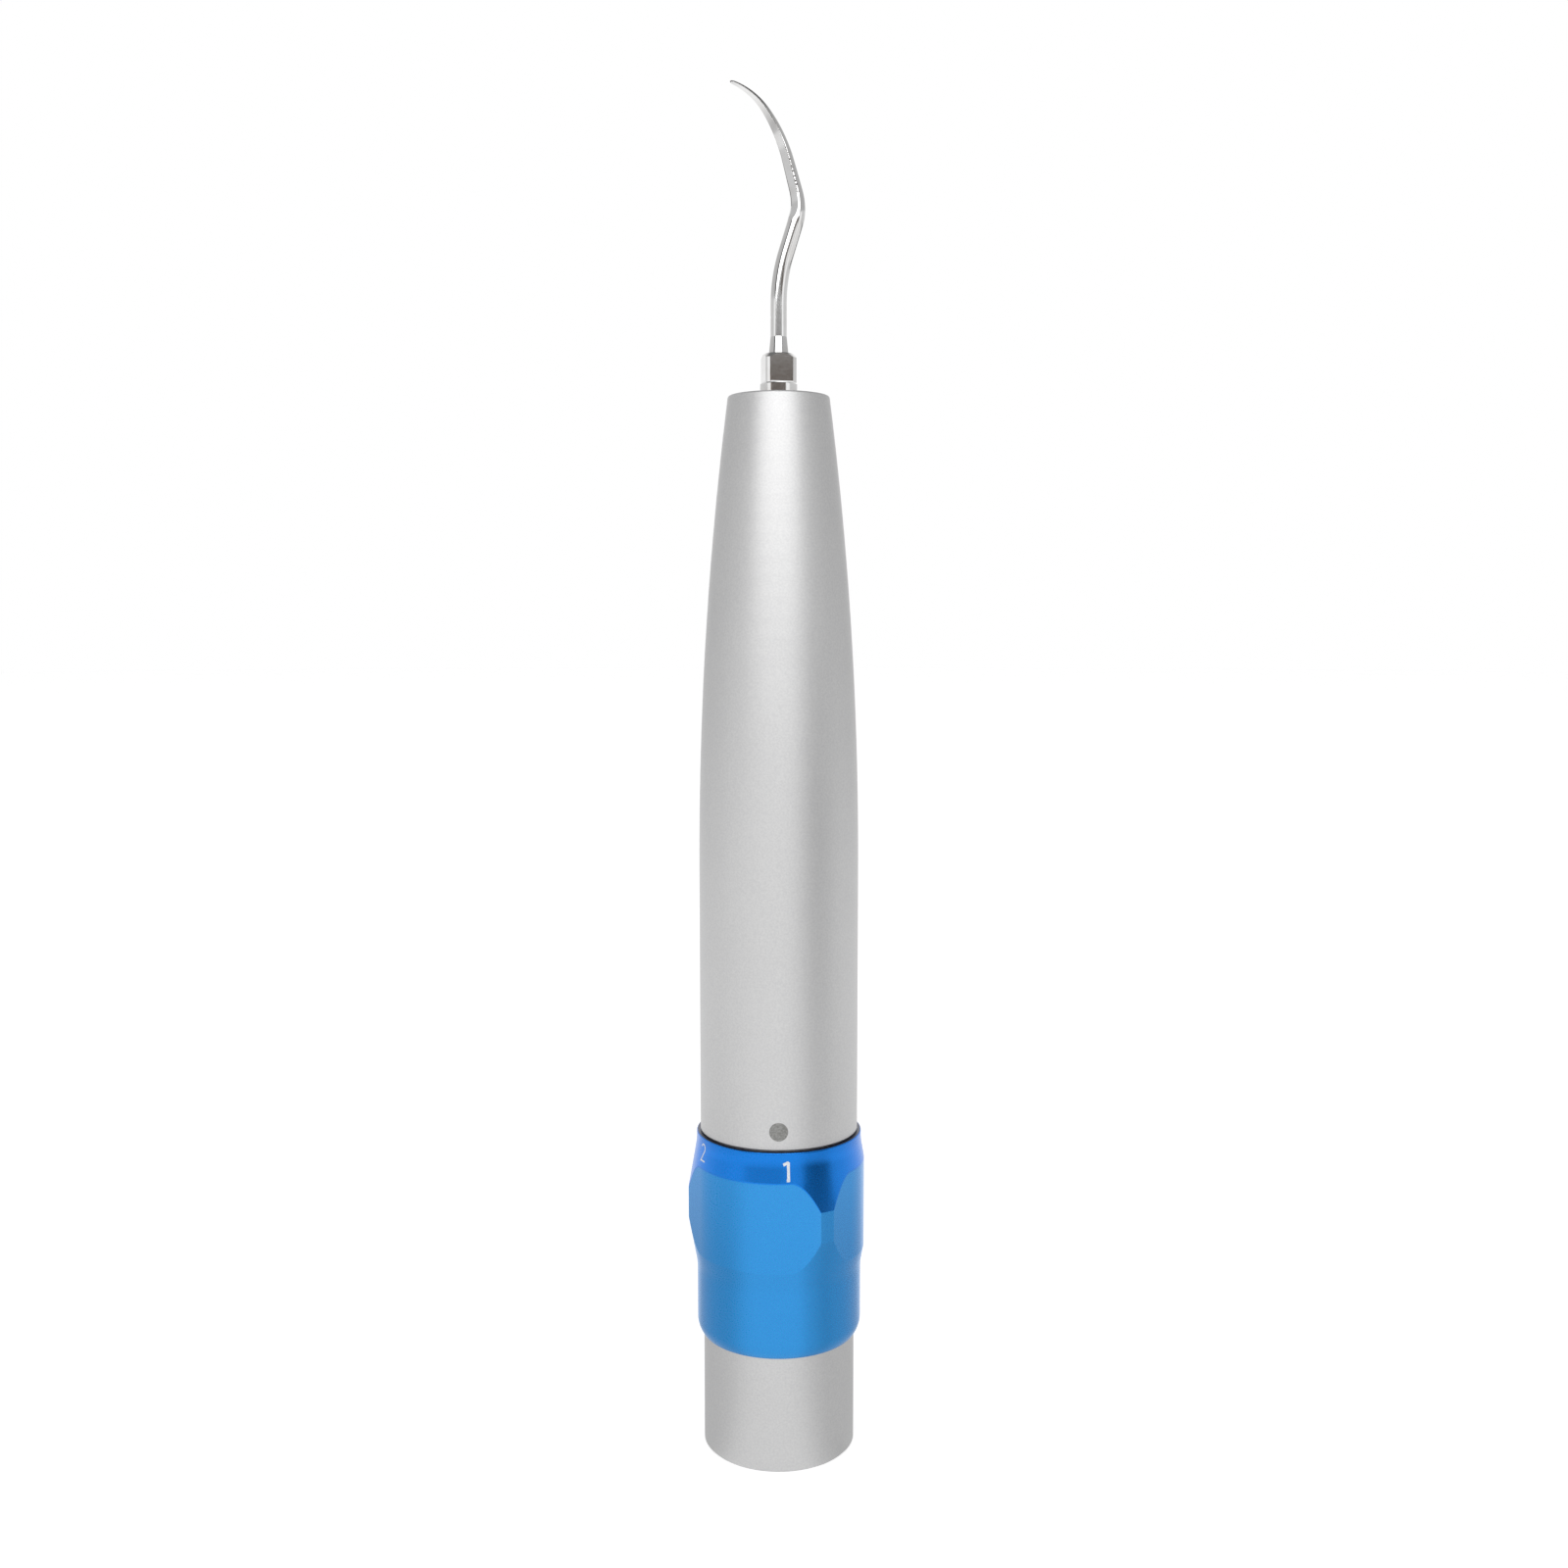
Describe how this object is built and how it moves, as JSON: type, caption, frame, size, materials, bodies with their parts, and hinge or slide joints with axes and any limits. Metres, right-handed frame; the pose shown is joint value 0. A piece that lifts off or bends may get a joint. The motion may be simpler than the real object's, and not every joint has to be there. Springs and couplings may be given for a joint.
{
  "type": "air scaler handpiece",
  "caption": "Slim satin dental air scaler handpiece standing on its rear end, with a turnable blue power ring, a vibrating shaft and a screwed-in curved steel scaling tip.",
  "frame": {"origin": "on the handle's axis in the plane of the rear sleeve's rim, on which the handpiece stands", "axes": "+Z along the handle from the rear rim to the tip; -Y is the front, where the index dot is; the tip's curve lies in the XZ plane, and its point looks towards -X"},
  "size_m": [0.0186, 0.018, 0.1411],
  "materials": {
    "satin_steel": "fine blasted satin, no grain direction",
    "blue_anodised": "blue anodised, semi-gloss",
    "dark_steel": "turned, dark",
    "turned_steel": "fine turned",
    "polished_steel": "mirror polished stainless steel",
    "white_plastic": "matte",
    "tan_plastic": "machined, matte",
    "white_silicone": "soft, matte",
    "black_rubber": "matte",
    "brass": "fine turned",
    "grey_enamel": "filled flush, semi-gloss"
  },
  "bodies": {
    "housing": {"rear_sleeve": "satin_steel", "glide_washer": "white_plastic", "valve_core": "turned_steel", "dowel_pin": "dark_steel", "socket_seals": "black_rubber", "neck_seals": "black_rubber", "detent_spring": "turned_steel", "manifold_gasket": "black_rubber", "air_manifold": "brass", "manifold_screws": "turned_steel", "drive_air_tube": "turned_steel", "water_tube": "turned_steel", "body_seal_ring": "black_rubber", "handle_shell": "satin_steel", "index_dot": "grey_enamel", "clamp_nut": "brass", "cartridge_cap": "brass", "cartridge_tube": "turned_steel", "flex_air_sleeve": "white_silicone", "rear_damper": "black_rubber", "front_damper": "black_rubber", "nose_bush": "dark_steel"},
    "ring_group": {"power_ring": "blue_anodised", "key_screw": "dark_steel", "throttle_sleeve": "tan_plastic"},
    "ball": {"detent_ball": "polished_steel"},
    "vibrator": {"vibrator_shaft": "polished_steel", "rotor_circlip": "dark_steel", "water_seal": "black_rubber"},
    "rotor": {"rotor_ring": "dark_steel"},
    "tip": {"scaler_tip": "polished_steel"}
  },
  "joints": [
    {"name": "power_ring_turn", "type": "hinge", "parent": "housing", "child": "ring_group", "pos_m": [0, 0, 0.0263], "axis": [0, 0, 1], "range_deg": [0, 144]},
    {"name": "detent_press", "type": "slide", "parent": "housing", "child": "ball", "axis": [-0.5, -0.866, 0], "range_m": [0, 0.0003], "stiffness_N_per_m": 500, "springref_m": 0.0015},
    {"name": "vibrator_tilt", "type": "hinge", "parent": "housing", "child": "vibrator", "pos_m": [0, 0, 0.0742], "axis": [0, 1, 0], "range_deg": [-0.1, 0.1], "stiffness_Nm_per_rad": 0.05},
    {"name": "rotor_spin", "type": "hinge", "parent": "vibrator", "child": "rotor", "pos_m": [0, 0, 0.0868], "axis": [0, 0, 1], "continuous": true},
    {"name": "tip_unscrew", "type": "slide", "parent": "vibrator", "child": "tip", "axis": [0, 0, 1], "range_m": [0, 0.008]}
  ]
}
